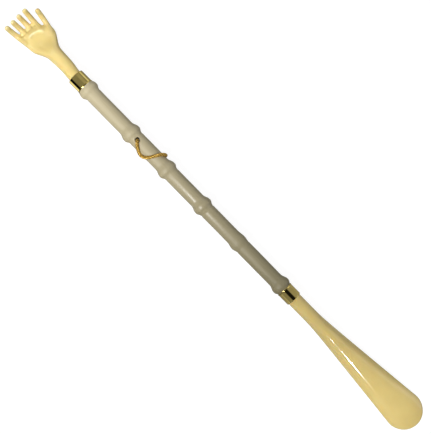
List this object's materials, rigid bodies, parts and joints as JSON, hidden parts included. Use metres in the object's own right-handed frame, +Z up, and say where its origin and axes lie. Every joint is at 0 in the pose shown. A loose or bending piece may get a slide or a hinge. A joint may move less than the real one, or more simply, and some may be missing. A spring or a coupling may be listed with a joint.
{
  "type": "back scratcher",
  "caption": "Long back scratcher: a moulded hand with curled fingers on a bamboo-form handle, a shoe horn at the other end, metal ferrules and a cord loop to hang it by.",
  "frame": {"origin": "middle of the object's length and width, on the table that it lies on palm up", "axes": "+X along the handle from the hand to the shoe horn, +Y towards the thumb, +Z up out of the palm"},
  "size_m": [0.5612, 0.0408, 0.0233],
  "materials": {
    "ivory_plastic": "glossy moulded ivory-yellow plastic",
    "putty_plastic": "satin-gloss moulded putty-coloured plastic in bamboo form",
    "gilt_metal": "polished gold-toned sheet metal",
    "gilt_cord": "twisted gold-coloured metallic cord"
  },
  "bodies": {
    "root": {"scratcher_hand": "ivory_plastic", "upper_ferrule": "gilt_metal", "handle": "putty_plastic", "lower_ferrule": "gilt_metal", "shoe_horn": "ivory_plastic", "hanging_cord": "gilt_cord", "cord_knot": "gilt_cord"}
  },
  "joints": []
}
